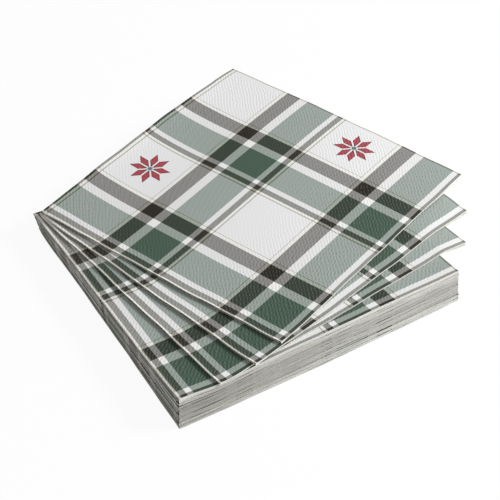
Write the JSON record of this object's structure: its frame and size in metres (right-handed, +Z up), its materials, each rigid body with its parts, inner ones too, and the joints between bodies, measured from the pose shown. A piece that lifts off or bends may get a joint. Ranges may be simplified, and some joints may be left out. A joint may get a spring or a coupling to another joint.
{
  "type": "stack of paper napkins",
  "caption": "Squared stack of quarter-folded printed paper napkins, with the topmost ones fanned round about one corner.",
  "frame": {"origin": "middle of the block's underside, on the surface that it rests on", "axes": "+Z up; -Y front and +X right are the sides with the cut edges; -X and +Y are the folded sides"},
  "size_m": [0.2149, 0.2165, 0.0269],
  "materials": {
    "printed_tissue": "matt embossed three-ply tissue, printed on its outer face"
  },
  "bodies": {
    "root": {"napkin_01": "printed_tissue", "napkin_02": "printed_tissue", "napkin_03": "printed_tissue", "napkin_04": "printed_tissue", "napkin_05": "printed_tissue", "napkin_06": "printed_tissue", "napkin_07": "printed_tissue", "napkin_08": "printed_tissue", "napkin_09": "printed_tissue", "napkin_10": "printed_tissue", "napkin_11": "printed_tissue", "napkin_12": "printed_tissue", "napkin_13": "printed_tissue", "napkin_14": "printed_tissue", "napkin_15": "printed_tissue", "napkin_16": "printed_tissue", "napkin_17": "printed_tissue", "fanned_napkin_1": "printed_tissue", "fanned_napkin_2": "printed_tissue", "fanned_napkin_3": "printed_tissue"}
  },
  "joints": []
}
